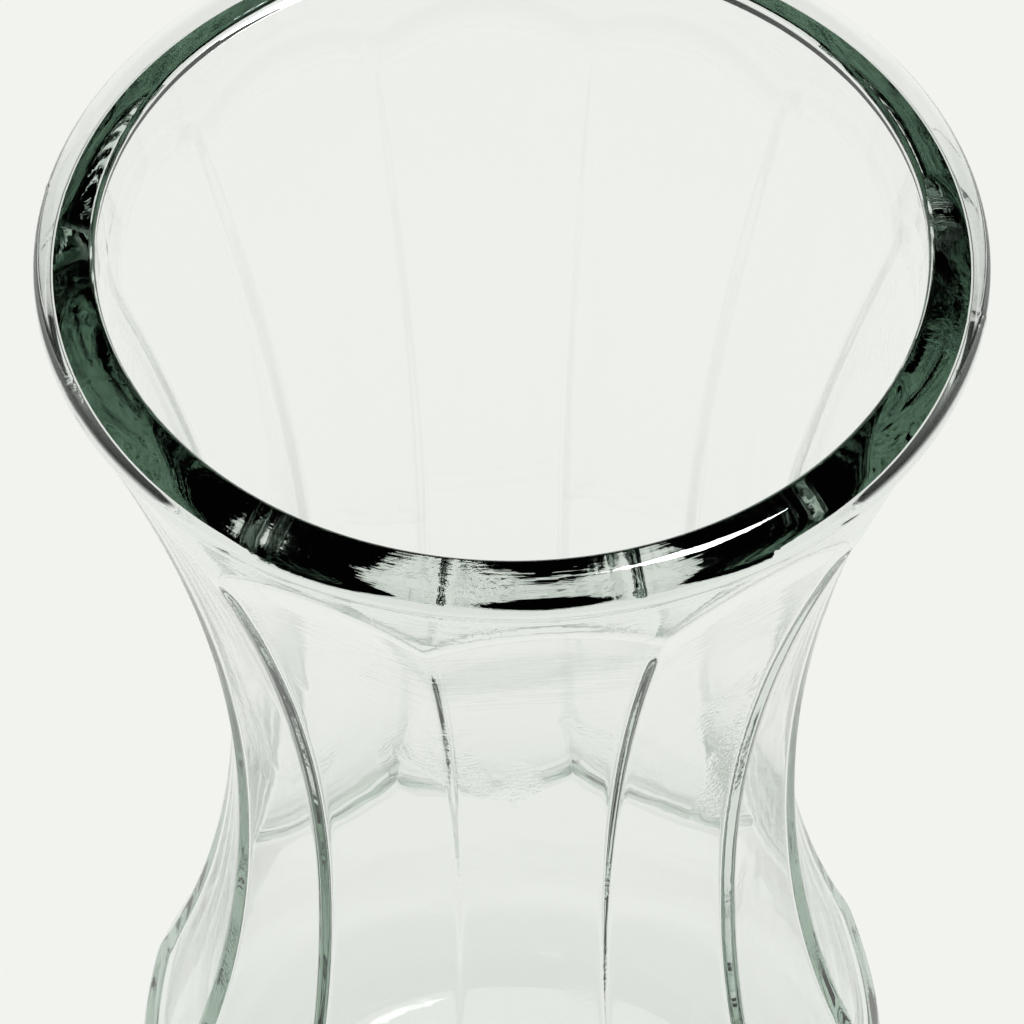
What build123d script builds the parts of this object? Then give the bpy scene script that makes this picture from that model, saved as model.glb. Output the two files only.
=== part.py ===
"""Flared twelve-panel vase in clear glass, moulded in one piece.

The origin is the centre of the bearing ring, +Z is up, and -Y passes through the middle of a panel.
"""
import os
from math import cos, radians, sin, sqrt, tan

from build123d import *

os.makedirs("parts", exist_ok=True)

# Lip and collar, in millimetres
overall_height = 222.5
rim_radius = 63.5
lip_width = 8.3
lip_fall = 2.0  # from the crown of the lip down to its outer corner
lip_side_height = 2.3  # from the outer corner down to the lower edge
crown_position = 0.62  # share of the lip's width that lies outside its crown
crown_drop = 0.35  # how far the crown falls towards the mouth
crown_rounding = 2.5
lip_outer_rounding = 1.8
lip_edge_rounding = 0.8
lip_inner_rounding = 1.2
lip_overhang = 3.4  # how far the lip stands out past the collar
crease_drop = 1.2  # from the lower edge of the lip down to the crease under it
collar_height = 4.8  # from the crease down to the tops of the arches

# Panels, whose radii are measured to the middle of a panel
panel_count = 12
waist_height = 122.0
waist_flat_radius = 39.9
panel_top_angle = 22.5  # lean from the vertical where a panel runs into the collar
arch_foot_height = 47.4
panel_foot_angle = 25.8  # lean from the vertical where a panel runs into the bulb
edge_softness = 1.5  # rounding of the ridges and arches

# Bulb and base
bulb_radius = 57.0
bulb_height = 32.0
bulb_curve_radius = 108.0
foot_radius = 44.5
heel_rounding = 5.0
bearing_inner_radius = 33.0
push_up_depth = 1.8

# Hollow, whose sides follow the panels between the mouth and the bulb
mouth_depth = 22.0
mouth_angle = 3.0  # lean of the mouth's inside from the vertical
panel_top_wall = 5.2
waist_wall = 3.9
panel_foot_wall = 4.9
bulb_wall = 5.6
floor_thickness = 12.0
floor_radius = 32.0
hollow_softness = 2.0  # rounding of the ridges inside

# The turned forms run past the ends of the arches, and the panel cutters past the turned forms
collar_overlap = 13.0
shoulder_overlap = 13.0
panel_overrun = 1.5
cutter_margin = 10.0

# Sizes that follow from those above
lip_corner_height = overall_height - lip_fall
lip_edge_height = lip_corner_height - lip_side_height
crown_radius = rim_radius - lip_width * crown_position
lip_inner_radius = rim_radius - lip_width
lip_inner_height = overall_height - crown_drop
collar_radius = rim_radius - lip_overhang
crease_height = lip_edge_height - crease_drop
arch_top_height = crease_height - collar_height
mouth_height = lip_inner_height - mouth_depth
mouth_foot_radius = lip_inner_radius - mouth_depth * tan(radians(mouth_angle))
bulb_inner_radius = bulb_radius - bulb_wall
shoulder_height = arch_foot_height + shoulder_overlap
collar_foot_height = arch_top_height - collar_overlap


def bulb_point(height, depth):
    """Point of the bulb's upper curve, an arc upright where the bulb is widest, sunk by a depth."""
    rise = height - bulb_height
    radius = bulb_radius - bulb_curve_radius + sqrt((bulb_curve_radius - depth) ** 2 - rise**2)
    return Vector(radius, height)


def panel_line(top_depth, waist_depth, foot_depth):
    """Middle line of a panel, radius against height, from arch to arch, sunk by depths into the wall."""
    top_lean = Vector(sin(radians(panel_top_angle)), cos(radians(panel_top_angle)))
    foot_lean = Vector(-sin(radians(panel_foot_angle)), cos(radians(panel_foot_angle)))
    arch_top, arch_foot = Vector(collar_radius, arch_top_height), bulb_point(arch_foot_height, 0)
    return Spline(
        arch_foot + Vector(-foot_lean.Y, foot_lean.X) * foot_depth,
        (waist_flat_radius - waist_depth, waist_height),
        arch_top + Vector(-top_lean.Y, top_lean.X) * top_depth,
        tangents=[foot_lean, (0, 1), top_lean],
    )


def panel_cutter(line, foot_run, top_run):
    """All beyond one panel, which is flat across, curved along line and straight past its ends."""
    foot_end, top_end = line @ 0 - line % 0 * foot_run, line @ 1 + line % 1 * top_run
    reach = max(foot_end.X, top_end.X) + cutter_margin
    with BuildPart() as cutter:
        with BuildSketch(Plane.XZ.offset(-reach)):
            with BuildLine():
                add(line)
                Polyline(
                    line @ 1, top_end, (reach, top_end.Y), (reach, foot_end.Y), foot_end, line @ 0
                )
            make_face()
        extrude(amount=2 * reach)
    return cutter.part


with BuildPart() as hollow:
    # Core whose sides follow the panels, kept within a turned form of floor, bulb and mouth
    core_line = panel_line(panel_top_wall, waist_wall, panel_foot_wall)
    foot_run = (core_line @ 0).Y / (core_line % 0).Y
    top_run = (overall_height - (core_line @ 1).Y) / (core_line % 1).Y
    with Locations((0, 0, overall_height / 2)):
        Cylinder(max(rim_radius, bulb_radius), overall_height)
    core_cutter = panel_cutter(core_line, foot_run, top_run)
    for turn in PolarLocations(0, panel_count):
        add(turn * core_cutter, mode=Mode.SUBTRACT)
    fillet(hollow.edges().filter_by(GeomType.BSPLINE), hollow_softness)
    with BuildSketch(Plane.XZ):
        with BuildLine():
            widest = (bulb_inner_radius, bulb_height)
            TangentArc(widest, (floor_radius, floor_thickness), tangent=(0, -1))
            shoulder = bulb_point(shoulder_height, bulb_wall)
            TangentArc(widest, shoulder, tangent=(0, 1))
            Polyline(
                shoulder,
                (mouth_foot_radius, mouth_height),
                (lip_inner_radius, lip_inner_height),
                (0, lip_inner_height),
                (0, floor_thickness),
                (floor_radius, floor_thickness),
            )
        make_face()
    revolve(axis=Axis.Z, mode=Mode.INTERSECT)

with BuildPart() as glass_body:
    # Turned form: bearing ring, heel, bulb, collar and lip
    with BuildSketch(Plane.XZ):
        with BuildLine():
            TangentArc((0, push_up_depth), (bearing_inner_radius, 0), tangent=(1, 0))
            Line((bearing_inner_radius, 0), (foot_radius, 0))
            widest = (bulb_radius, bulb_height)
            TangentArc(widest, (foot_radius, 0), tangent=(0, -1))
            shoulder = bulb_point(shoulder_height, 0)
            TangentArc(widest, shoulder, tangent=(0, 1))
            lip_edge, lip_corner = (rim_radius, lip_edge_height), (rim_radius, lip_corner_height)
            crown = (crown_radius, overall_height)
            Polyline(
                shoulder,
                (collar_radius, collar_foot_height),
                (collar_radius, crease_height),
                lip_edge,
                lip_corner,
                crown,
                (lip_inner_radius, lip_inner_height),
                (0, lip_inner_height),
                (0, push_up_depth),
            )
        make_face()
        for corner, rounding in (
            ((foot_radius, 0), heel_rounding),
            (lip_edge, lip_edge_rounding),
            (lip_corner, lip_outer_rounding),
            (crown, crown_rounding),
        ):
            fillet(vertices().sort_by_distance(corner)[0], rounding)
    revolve(axis=Axis.Z)

    # Panels, cut into the turned form so that they end in arches on the collar and on the bulb
    cutter = panel_cutter(panel_line(0, 0, 0), panel_overrun, panel_overrun)
    for turn in PolarLocations(0, panel_count):
        add(turn * cutter, mode=Mode.SUBTRACT)
    fillet(glass_body.edges().filter_by(GeomType.BSPLINE), edge_softness)

    # Hollow, and the rounded edge it leaves at the mouth
    add(hollow.part, mode=Mode.SUBTRACT)
    rings = glass_body.edges().filter_by(lambda edge: edge.is_closed)
    fillet(rings.sort_by_distance((lip_inner_radius, 0, lip_inner_height))[0], lip_inner_rounding)

glass_body.part.label = "glass_body"
export_step(glass_body.part, "parts/glass_body.step")
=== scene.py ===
import bpy
import numpy as np
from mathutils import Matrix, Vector


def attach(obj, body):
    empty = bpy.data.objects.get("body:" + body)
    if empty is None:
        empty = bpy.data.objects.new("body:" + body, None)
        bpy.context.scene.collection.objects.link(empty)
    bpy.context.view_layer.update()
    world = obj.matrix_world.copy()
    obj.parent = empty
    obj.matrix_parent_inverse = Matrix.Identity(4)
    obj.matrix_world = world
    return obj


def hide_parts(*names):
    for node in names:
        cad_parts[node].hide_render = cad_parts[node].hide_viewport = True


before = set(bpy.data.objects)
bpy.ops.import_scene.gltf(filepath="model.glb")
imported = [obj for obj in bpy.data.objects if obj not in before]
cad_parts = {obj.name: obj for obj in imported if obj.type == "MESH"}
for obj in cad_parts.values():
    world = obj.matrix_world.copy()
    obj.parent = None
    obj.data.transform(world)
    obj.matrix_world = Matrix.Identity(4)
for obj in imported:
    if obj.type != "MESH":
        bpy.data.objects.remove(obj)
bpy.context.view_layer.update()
mm = 0.001

# Vase: one moulded body whose radius is a function of angle and height. Lengths are in millimetres.
vase = {
    "rimRadius": 63.5,
    "crownHeight": 222.5,
    "lipWidth": 8.3,
    "lipFall": 2.0,            # from the crown of the lip down to its outer corner
    "lipSideHeight": 2.3,      # from the outer corner down to the lower edge
    "lipOverhang": 3.4,        # how far the lip stands out past the collar
    "lipRoundings": (0.8, 1.8, 10.0, 1.0),     # at the lower edge, outer corner, crown and mouth
    "crownPosition": 0.55,     # share of the lip's width that lies outside its crown
    "crownDrop": 0.35,         # how far the crown falls towards the mouth
    "creaseDrop": 1.2,         # from the lower edge of the lip down to the crease
    "collarHeight": 4.8,       # from the crease down to the tops of the arches
    "mouthAngle": 3.0,         # degrees, lean of the mouth's inside
    "mouthDepth": 4.0,         # the mouth is round at least this far down
    "panelCount": 12,
    "panelTopAngle": 22.5,     # degrees from the vertical
    "panelFootAngle": 25.8,
    "waistHeight": 122.0,
    "waistFlatRadius": 39.9,
    "archFootHeight": 47.4,
    "bulbRadius": 57.0,
    "bulbHeight": 32.0,
    "bulbCurveRadius": 108.0,
    "shoulderOverlap": 13.0,   # the bulb's curve goes on this far behind the panels
    "footRadius": 44.5,
    "heelRounding": 5.0,
    "bearingInnerRadius": 33.0,
    "pushUpDepth": 1.8,
    "floorThickness": 12.0,
    "floorRadius": 32.0,
    "seamAngles": (75, 255),   # degrees, where the mould's halves met
    "seamHeight": 0.12,
    "seamWidth": 0.35,
    "seamFrom": 59.0,          # radius from which it shows
    # Both faces of the panelled wall: depths into the glass, roundings (how far an edge stands back
    # from its sharp corner, times four), and rows below, between and above the arches
    "outside": {
        "depth": {"top": 0, "waist": 0, "foot": 0, "bulb": 0},
        "rounding": {"ridge": 0.30, "ridgeTop": 0.30, "archTop": 0.45, "archFoot": 0.40},
        "rows": (20, 84, 14),
    },
    "inside": {
        "depth": {"top": 3.65, "waist": 3.9, "foot": 4.9, "bulb": 5.6},
        "rounding": {"ridge": 0.25, "ridgeTop": 1.0, "archTop": 1.3, "archFoot": 0.80},
        "rows": (18, 70, 16),
    },
    "ridgeTopFrom": 195.0,     # height from which a ridge takes on its rounding at the top
    # Mesh: rows of the turned stretches, and columns
    "rows": {"pushUp": 10, "bearing": 8, "heel": 10, "bulb": 16, "lipRun": 9, "lipRounding": 12, "floor": 8},
    "rowCrowding": 0.8,        # 0 spaces the rows evenly, towards 1 they crowd at the arches
    "columnsPerPanel": 24,
    "columnCrowding": 0.82,    # the same for the columns, at the ridges
    # Search for the arches: how far past them it looks, and in how many steps
    "panelRun": 20.0,
    "archFootSearch": (-3.0, 20.0),
    "archTopSearch": 6.0,
    "lineSteps": 1500,
    "searchSteps": 3000,
    "bulbClearance": 1.0,      # the rows of the panels start this far above the bulb's widest height
}

# sizes that follow from those above
vase["cornerHeight"] = vase["crownHeight"] - vase["lipFall"]
vase["edgeHeight"] = vase["cornerHeight"] - vase["lipSideHeight"]
vase["creaseHeight"] = vase["edgeHeight"] - vase["creaseDrop"]
vase["archTopHeight"] = vase["creaseHeight"] - vase["collarHeight"]
vase["mouthHeight"] = vase["crownHeight"] - vase["crownDrop"]
vase["mouthFootHeight"] = vase["mouthHeight"] - vase["mouthDepth"]
vase["shoulderHeight"] = vase["archFootHeight"] + vase["shoulderOverlap"]
vase["crownRadius"] = vase["rimRadius"] - vase["lipWidth"] * vase["crownPosition"]
vase["mouthRadius"] = vase["rimRadius"] - vase["lipWidth"]
vase["collarRadius"] = vase["rimRadius"] - vase["lipOverhang"]


def straight(start, end, count):
    return np.linspace(np.asarray(start, float), np.asarray(end, float), count)


def tangentArc(start, end, tangent, count):
    # the circle that leaves start along tangent and passes end: radius = chord squared / (2 chord . normal)
    start, end, tangent = (np.asarray(p, float) for p in (start, end, tangent))
    normal = np.array([-tangent[1], tangent[0]]) / np.linalg.norm(tangent)
    chord = end - start
    radius = chord @ chord / (2 * chord @ normal)
    centre = start + radius * normal
    first = np.arctan2(*(start - centre)[::-1])
    sweep = (np.arctan2(*(end - centre)[::-1]) - first + np.pi) % (2 * np.pi) - np.pi
    turn = first + sweep * np.linspace(0, 1, count)
    return centre + abs(radius) * np.stack([np.cos(turn), np.sin(turn)], 1)


def roundCorner(first, second, radius, count):
    # both runs are cut back by radius x tan(half the turn); a Bezier curve close to an arc joins them
    step = 0.02    # millimetres along a run, to tell its direction

    def cutBack(run, length):
        along = np.concatenate([[0], np.cumsum(np.linalg.norm(np.diff(run, axis=0), axis=1))])

        def pointAt(place):
            return np.array([np.interp(place, along, run[:, k]) for k in (0, 1)])

        at, ahead = pointAt(length), pointAt(length + step)
        return at, (ahead - at) / np.linalg.norm(ahead - at), run[along > length + step]

    def turnOf(a, b):
        return np.arccos(np.clip(-a @ b, -1, 1))

    away, towards = first[-2] - first[-1], second[1] - second[0]
    turn = turnOf(away / np.linalg.norm(away), towards / np.linalg.norm(towards))
    start, back, before = cutBack(first[::-1], radius * np.tan(turn / 2))
    end, on, after = cutBack(second, radius * np.tan(turn / 2))
    handle = radius * np.tan(turnOf(back, on) / 4) * 4 / 3
    t = np.linspace(0, 1, count)[:, None]
    curve = (
        start * (1 - t) ** 3 + (start - back * handle) * 3 * t * (1 - t) ** 2
        + (end - on * handle) * 3 * t ** 2 * (1 - t) + end * t ** 3
    )
    return np.concatenate([before[::-1], curve, after])


def hermite(start, end, startSlope, endSlope, count):
    # radius over height as a cubic with given radius and slope at both ends; points are (radius, height)
    (r0, z0), (r1, z1) = start, end
    t = np.linspace(0, 1, count)
    rise = z1 - z0
    radius = (
        r0 * (1 + 2 * t) * (1 - t) ** 2 + r1 * t ** 2 * (3 - 2 * t)
        + rise * (startSlope * t * (1 - t) ** 2 - endSlope * t ** 2 * (1 - t))
    )
    return np.stack([radius, z0 + rise * t], 1)


def softMin(a, b, width):
    # the lesser of a and b, rounded off where they differ by less than width
    blend = np.clip(1 - np.abs(a - b) / width, 0, 1)
    return np.minimum(a, b) - blend ** 2 * width / 4


def crowdEnds(count, share):
    # 0 to 1 in count steps, crowded at both ends: a straight run mixed with a half cosine wave
    t = np.linspace(0, 1, count)
    return (1 - share) * t + share * (1 - np.cos(np.pi * t)) / 2


def vaseAngles(v):
    # columns crowd at the ridges, so each panel's share of the turn runs through crowdEnds
    one = crowdEnds(v["columnsPerPanel"] + 1, v["columnCrowding"])[:-1]
    turn = (np.arange(v["panelCount"])[:, None] + one[None, :]).ravel() / v["panelCount"]
    return 2 * np.pi * turn - np.pi / v["panelCount"]    # angle 0 is a panel's middle


def bulbAt(v, height, depth):
    # the bulb's upper curve, an arc upright at the bulb's widest height, or one parallel to it
    return v["bulbRadius"] - v["bulbCurveRadius"] + np.sqrt(
        (v["bulbCurveRadius"] - depth) ** 2 - (height - v["bulbHeight"]) ** 2
    )


def collarAt(v, height):
    return np.full_like(height, v["collarRadius"])


def mouthAt(v, height):
    # a cone: radius = the mouth's radius - tan(lean) x depth below the mouth
    return v["mouthRadius"] - np.tan(np.radians(v["mouthAngle"])) * (v["mouthHeight"] - height)


def panelLine(v, depth):
    # middle line of a panel: two cubics, upright where they meet at the waist, sunk by depths across
    # the wall and run on straight past both arches
    topLean, footLean = np.radians(v["panelTopAngle"]), np.radians(v["panelFootAngle"])
    foot = np.array([bulbAt(v, v["archFootHeight"], 0), v["archFootHeight"]])
    foot = foot - depth["foot"] * np.array([np.cos(footLean), np.sin(footLean)])
    waist = (v["waistFlatRadius"] - depth["waist"], v["waistHeight"])
    top = np.array([v["collarRadius"], v["archTopHeight"]])
    top = top + depth["top"] * np.array([-np.cos(topLean), np.sin(topLean)])
    return np.concatenate([
        [foot + v["panelRun"] * np.array([np.tan(footLean), -1])],
        hermite(foot, waist, -np.tan(footLean), 0, v["lineSteps"]),
        hermite(waist, top, 0, np.tan(topLean), v["lineSteps"])[1:],
        [top + v["panelRun"] * np.array([np.tan(topLean), 1])],
    ])


def panelRows(v, face, angle, endAt, endHeight):
    # radius = the least of three, with soft edges: the panel's flat / cos(angle from its middle), the
    # same for the next panel, and the turned form, which is the bulb below and endAt above
    depth, rounding = face["depth"], face["rounding"]
    line = panelLine(v, depth)
    panel = 2 * np.pi / v["panelCount"]
    delta = np.abs((angle + panel / 2) % panel - panel / 2)

    def flatAt(height):
        return np.interp(height, line[:, 1], line[:, 0])

    def between(count, low, high):
        # heights that run from low to high at every angle, closer together at both ends
        return low + (high - low) * crowdEnds(count, v["rowCrowding"])[:, None]

    # an arch is where the flat meets the turned form: cos(angle) = flat / turned radius
    lower = v["archFootHeight"] + np.linspace(*v["archFootSearch"], v["searchSteps"])
    upper = np.linspace(v["waistHeight"], v["archTopHeight"] + v["archTopSearch"], v["searchSteps"])
    archFoot = np.interp(-np.cos(delta), -flatAt(lower) / bulbAt(v, lower, depth["bulb"]), lower)
    archTop = np.interp(np.cos(delta), flatAt(upper) / endAt(v, upper), upper)
    below, along, above = face["rows"]
    height = np.concatenate([
        between(below, v["bulbHeight"] + v["bulbClearance"], archFoot),
        between(along, archFoot, archTop)[1:],
        between(above, archTop, endHeight)[1:],
    ])

    flat, flaring, shoulder = flatAt(height), height > v["waistHeight"], v["shoulderHeight"]
    ridge = np.interp(
        height, (v["ridgeTopFrom"], v["archTopHeight"]), (rounding["ridge"], rounding["ridgeTop"])
    )
    across = softMin(flat / np.cos(delta), flat / np.cos(panel - delta), ridge)
    bulb = np.where(height < shoulder, bulbAt(v, np.minimum(height, shoulder), depth["bulb"]), np.inf)
    around = np.where(flaring, endAt(v, height), bulb)
    arch = np.where(flaring, rounding["archTop"], rounding["archFoot"])
    return np.stack([softMin(across, around, arch), height], -1)


def heelCurve(v):
    # the bearing ring and the bulb's lower arc, with a rounded corner between them
    widest, foot = (v["bulbRadius"], v["bulbHeight"]), (v["footRadius"], 0)
    ring = straight((v["bearingInnerRadius"], 0), foot, v["rows"]["bearing"])
    bulb = tangentArc(widest, foot, (0, -1), v["rows"]["bulb"])[::-1]
    return roundCorner(ring, bulb, v["heelRounding"], v["rows"]["heel"])


def lipCurve(v):
    # straight runs with rounded corners: out to the lower edge, up to the outer corner, over the crown
    # and into the mouth
    corners = [
        (v["collarRadius"], v["creaseHeight"]),
        (v["rimRadius"], v["edgeHeight"]),
        (v["rimRadius"], v["cornerHeight"]),
        (v["crownRadius"], v["crownHeight"]),
        (v["mouthRadius"], v["mouthHeight"]),
        (mouthAt(v, v["mouthFootHeight"]), v["mouthFootHeight"]),
    ]
    curve = straight(corners[0], corners[1], v["rows"]["lipRun"])
    for corner, following, rounding in zip(corners[1:], corners[2:], v["lipRoundings"]):
        run = straight(corner, following, v["rows"]["lipRun"])
        curve = roundCorner(curve, run, rounding, v["rows"]["lipRounding"])
    return curve


def vaseGrid(v, angle):
    # rows of (radius, height) for every angle, from the base up the outside and down the inside
    def turned(points):
        return np.repeat(points[:, None, :], len(angle), 1)

    pushUp = tangentArc((0, v["pushUpDepth"]), (v["bearingInnerRadius"], 0), (1, 0), v["rows"]["pushUp"])
    outside = np.concatenate([
        turned(heelCurve(v)[1:-1]),
        panelRows(v, v["outside"], angle, collarAt, v["creaseHeight"]),
        turned(lipCurve(v)[1:-1]),
    ])
    # a seam is a low rounded fin: height x exp(-(distance / width) squared)
    for seam in np.radians(v["seamAngles"]):
        away = outside[..., 0] * ((angle - seam + np.pi) % (2 * np.pi) - np.pi)
        fade = np.clip((outside[..., 0] - v["seamFrom"]) / v["lipOverhang"], 0, 1)
        outside[..., 0] += v["seamHeight"] * fade * np.exp(-(away / v["seamWidth"]) ** 2)
    widestInside = (v["bulbRadius"] - v["inside"]["depth"]["bulb"], v["bulbHeight"])
    floorEdge, floorMiddle = (v["floorRadius"], v["floorThickness"]), (0, v["floorThickness"])
    return np.concatenate([
        turned(pushUp[1:]),
        outside,
        panelRows(v, v["inside"], angle, mouthAt, v["mouthFootHeight"])[::-1],
        turned(tangentArc(widestInside, floorEdge, (0, -1), v["rows"]["bulb"])[1:]),
        turned(straight(floorEdge, floorMiddle, v["rows"]["floor"])[1:-1]),
    ])


def closedSurface(name, angle, grid, firstPole, lastPole):
    # point = (radius sin angle, -radius cos angle, height); rows close round the axis and end in two poles
    rowCount, columnCount = grid.shape[:2]
    x, y = grid[..., 0] * np.sin(angle), -grid[..., 0] * np.cos(angle)
    points = np.stack([x, y, grid[..., 1]], -1).reshape(-1, 3)
    points = np.concatenate([points, [(0, 0, firstPole), (0, 0, lastPole)]]) * mm
    at = np.arange(rowCount * columnCount).reshape(rowCount, columnCount)
    beside = np.roll(at, -1, 1)
    quads = np.stack([at[:-1], beside[:-1], beside[1:], at[1:]], -1).reshape(-1, 4)
    start = np.stack([np.full(columnCount, len(points) - 2), beside[0], at[0]], -1)
    end = np.stack([np.full(columnCount, len(points) - 1), at[-1], beside[-1]], -1)
    mesh = bpy.data.meshes.new(name)
    mesh.from_pydata(points.tolist(), [], quads.tolist() + start.tolist() + end.tolist())
    mesh.shade_smooth()
    mesh.update()
    piece = bpy.data.objects.new(name, mesh)
    bpy.context.scene.collection.objects.link(piece)
    return piece


angle = vaseAngles(vase)
grid = vaseGrid(vase, angle)
vaseGlass = closedSurface("vaseGlass", angle, grid, vase["pushUpDepth"], vase["floorThickness"])
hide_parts("glass_body")
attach(vaseGlass, "root")
print("vase surface", grid.shape[0], "rows by", grid.shape[1], "columns")


def linear(hexColour):
    # sRGB hex to linear: below 0.04045 divide by 12.92, above it ((c + 0.055) / 1.055) to the power 2.4
    c = np.array([int(hexColour[i:i + 2], 16) for i in (1, 3, 5)]) / 255
    return (*np.where(c <= 0.04045, c / 12.92, ((c + 0.055) / 1.055) ** 2.4), 1.0)


def addNode(tree, kind, settings=None, links=None):
    # settings that name or number an input fill it, others set the node
    # links give an input its (node, output)
    node = tree.nodes.new(kind)
    for key, value in (settings or {}).items():
        if isinstance(key, int) or key in node.inputs:
            node.inputs[key].default_value = value
        else:
            setattr(node, key, value)
    for key, (source, output) in (links or {}).items():
        tree.links.new(source.outputs[output], node.inputs[key])
    return node


def newTree(owner):
    owner.use_nodes = True
    owner.node_tree.nodes.clear()
    return owner.node_tree


# Soda-lime glass, moulded and fire-polished: colourless in a thin wall, green where light runs along it.
# Sizes, depths and heights are in millimetres; a layer is a noise of that size along x, y and z.
glass = {
    "body": "#ffffff",
    "edgeGreen": "#5f9a78",
    "density": 10.0,           # per metre of glass
    "ior": 1.52,
    "roughness": 0.0,
    "wave": {"size": (22.0, 22.0, 22.0), "depth": 0.03},       # slow waves left by the mould
    "ripple": {"size": (9.0, 9.0, 0.9), "depth": 0.010},       # fine level ripples below the arches
    "rippleFrom": 172.0, "rippleFull": 206.0,                  # heights between which they come up
    "wrinkle": {"size": (0.8, 0.8, 0.8), "depth": 0.030},      # chill wrinkles, in patches
    "patch": {"size": (13.0, 13.0, 34.0)},
    "patchFrom": 0.58, "patchFull": 0.70,                      # a patch is where its noise tops these
    "noiseDetail": 2.0,
}


def sodaLimeGlass(g):
    material = bpy.data.materials.new("sodaLimeGlass")
    tree = newTree(material)
    place = addNode(tree, "ShaderNodeTexCoord")
    noise, share = {}, {}
    for layer in ("wave", "ripple", "wrinkle", "patch"):
        scale = [1 / (side * mm) for side in g[layer]["size"]]
        fit = addNode(tree, "ShaderNodeMapping", {"Scale": scale}, {"Vector": (place, "Object")})
        settings = {"Scale": 1.0, "Detail": g["noiseDetail"]}
        noise[layer] = addNode(tree, "ShaderNodeTexNoise", settings, {"Vector": (fit, "Vector")})

    # how much of a layer shows, from 0 to 1: ripples by height, wrinkles by the patches
    rise = addNode(tree, "ShaderNodeSeparateXYZ", {}, {"Vector": (place, "Object")})
    for layer, source, low, high in (
        ("ripple", (rise, "Z"), g["rippleFrom"] * mm, g["rippleFull"] * mm),
        ("wrinkle", (noise["patch"], "Fac"), g["patchFrom"], g["patchFull"]),
    ):
        share[layer] = addNode(
            tree, "ShaderNodeMapRange",
            {"From Min": low, "From Max": high, "interpolation_type": "SMOOTHSTEP"},
            {"Value": source},
        )

    # height of the relief in metres: the sum of noise x share x depth over the layers
    relief = None
    for layer in ("wave", "ripple", "wrinkle"):
        source = (noise[layer], "Fac")
        if layer in share:
            shown = {0: source, 1: (share[layer], "Result")}
            source = (addNode(tree, "ShaderNodeMath", {"operation": "MULTIPLY"}, shown), 0)
        links = {0: source}
        if relief is not None:
            links[2] = (relief, 0)
        settings = {"operation": "MULTIPLY_ADD", 1: g[layer]["depth"] * mm, 2: 0.0}
        relief = addNode(tree, "ShaderNodeMath", settings, links)
    bump = addNode(tree, "ShaderNodeBump", {"Strength": 1.0, "Distance": 1.0}, {"Height": (relief, 0)})
    surface = addNode(
        tree, "ShaderNodeBsdfPrincipled",
        {
            "Base Color": linear(g["body"]), "Roughness": g["roughness"], "IOR": g["ior"],
            "Transmission Weight": 1.0,
        },
        {"Normal": (bump, "Normal")},
    )
    inside = addNode(
        tree, "ShaderNodeVolumeAbsorption", {"Color": linear(g["edgeGreen"]), "Density": g["density"]}
    )
    addNode(
        tree, "ShaderNodeOutputMaterial", {}, {"Surface": (surface, "BSDF"), "Volume": (inside, "Volume")}
    )
    return material


vaseGlass.data.materials.append(sodaLimeGlass(glass))
print("glass made")

# Studio: a pale floor, a pale surround that darkens overhead, and a soft lamp. Lengths are in metres.
studio = {
    "floorHalf": 6.0,
    "floorColour": "#f4f5f3",
    "floorGlow": 0.92,         # share of the floor that camera and glass see as plain white
    "surround": "#f9faf6",
    "overhead": "#1c1e1c",
    "paleUpTo": 0.05,          # sine of the elevation where the surround starts to darken
    "darkFrom": 0.40,
    "lampPlace": (0.28, 0.68, 1.75),
    "lampAim": (0, 0, 0.1),
    "lampSide": 0.2,
    "lampPower": 6.0,          # watts
}


def floorPaint(s):
    # matt pale paint, which camera and glass see nearly white: glow x share + paint x (1 - share)
    material = bpy.data.materials.new("paintedFloor")
    tree = newTree(material)
    path = addNode(tree, "ShaderNodeLightPath")
    seen = (path, "Is Camera Ray")
    for ray in ("Is Transmission Ray", "Is Glossy Ray"):
        seen = (addNode(tree, "ShaderNodeMath", {"operation": "MAXIMUM"}, {0: seen, 1: (path, ray)}), 0)
    share = addNode(tree, "ShaderNodeMath", {"operation": "MULTIPLY", 1: s["floorGlow"]}, {0: seen})
    matt = addNode(tree, "ShaderNodeBsdfDiffuse", {"Color": linear(s["floorColour"])})
    glow = addNode(tree, "ShaderNodeEmission", {"Color": linear(s["surround"]), "Strength": 1.0})
    mix = addNode(tree, "ShaderNodeMixShader", {}, {0: (share, 0), 1: (matt, 0), 2: (glow, 0)})
    addNode(tree, "ShaderNodeOutputMaterial", {}, {"Surface": (mix, 0)})
    return material


def studioFloor(s):
    half = s["floorHalf"]
    mesh = bpy.data.meshes.new("floor")
    mesh.from_pydata(
        [(-half, -half, 0), (half, -half, 0), (half, half, 0), (-half, half, 0)], [], [(0, 1, 2, 3)]
    )
    mesh.materials.append(floorPaint(s))
    floor = bpy.data.objects.new("floor", mesh)
    bpy.context.scene.collection.objects.link(floor)
    return floor


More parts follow.
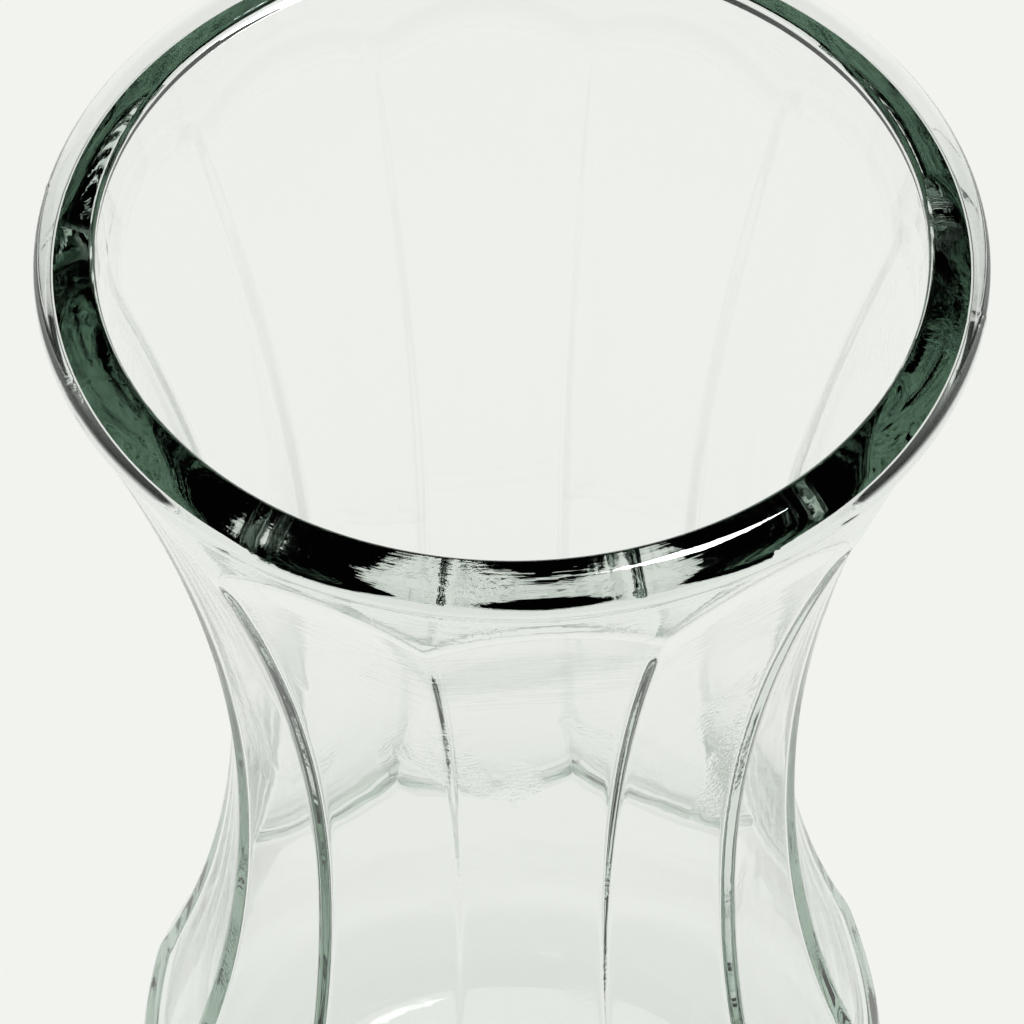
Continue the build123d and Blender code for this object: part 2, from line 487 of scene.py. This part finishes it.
def studioSurround(s):
    # plain pale to the camera; other rays see it go from pale to dark as the direction rises
    world = bpy.data.worlds.new("studio")
    tree = newTree(world)
    path = addNode(tree, "ShaderNodeLightPath")
    direction = addNode(tree, "ShaderNodeTexCoord")
    split = addNode(tree, "ShaderNodeSeparateXYZ", {}, {"Vector": (direction, "Generated")})
    rise = addNode(
        tree, "ShaderNodeMapRange",
        {"From Min": s["paleUpTo"], "From Max": s["darkFrom"], "interpolation_type": "SMOOTHSTEP"},
        {"Value": (split, "Z")},
    )
    # inputs 6 and 7 and output 2 of a Mix node are its colours
    shade = addNode(
        tree, "ShaderNodeMix",
        {"data_type": "RGBA", 6: linear(s["surround"]), 7: linear(s["overhead"])},
        {"Factor": (rise, "Result")},
    )
    lit = addNode(tree, "ShaderNodeBackground", {"Strength": 1.0}, {"Color": (shade, 2)})
    plain = addNode(tree, "ShaderNodeBackground", {"Color": linear(s["surround"]), "Strength": 1.0})
    mix = addNode(
        tree, "ShaderNodeMixShader", {}, {0: (path, "Is Camera Ray"), 1: (lit, 0), 2: (plain, 0)}
    )
    addNode(tree, "ShaderNodeOutputWorld", {}, {"Surface": (mix, 0)})
    return world


def softLamp(s):
    lamp = bpy.data.lights.new("softbox", "AREA")
    lamp.shape = "SQUARE"
    lamp.size = s["lampSide"]
    lamp.energy = s["lampPower"]
    holder = bpy.data.objects.new("softbox", lamp)
    holder.location = s["lampPlace"]
    holder.rotation_euler = (Vector(s["lampAim"]) - holder.location).to_track_quat("-Z", "Y").to_euler()
    bpy.context.scene.collection.objects.link(holder)


floor = studioFloor(studio)
bpy.context.scene.world = studioSurround(studio)
softLamp(studio)
print("studio lit")

# Camera: a long lens that looks down into the mouth, aimed a little below the rim
camera = {
    "azimuth": -4.17,          # degrees from -Y towards +X
    "elevation": 47.05,        # of the camera above the centre of the rim
    "distanceMm": 889.0,
    "pitch": 49.2,
    "focalPixels": 6690.0,
    "imageWidth": 1024,
    "sensorMm": 36.0,
    "clip": (0.05, 60.0),      # metres
}


def photoCamera(c, rimHeight):
    azimuth, elevation, pitch = (np.radians(c[name]) for name in ("azimuth", "elevation", "pitch"))
    outward, up = Vector((np.sin(azimuth), -np.cos(azimuth), 0)), Vector((0, 0, 1))
    lens = bpy.data.cameras.new("photoCamera")
    lens.sensor_width = c["sensorMm"]
    lens.lens = c["focalPixels"] / c["imageWidth"] * c["sensorMm"]
    lens.clip_start, lens.clip_end = c["clip"]
    holder = bpy.data.objects.new("photoCamera", lens)
    away = outward * np.cos(elevation) + up * np.sin(elevation)
    holder.location = up * rimHeight * mm + away * (c["distanceMm"] * mm)
    aim = -outward * np.cos(pitch) - up * np.sin(pitch)
    holder.rotation_euler = aim.to_track_quat("-Z", "Y").to_euler()
    bpy.context.scene.collection.objects.link(holder)
    return holder


scene = bpy.context.scene
scene.camera = photoCamera(camera, vase["edgeHeight"])
scene.view_settings.view_transform = "Standard"
scene.cycles.max_bounces = 32              # light crosses the wall many times before it leaves
scene.cycles.transmission_bounces = 32
scene.cycles.glossy_bounces = 16
print("camera placed")
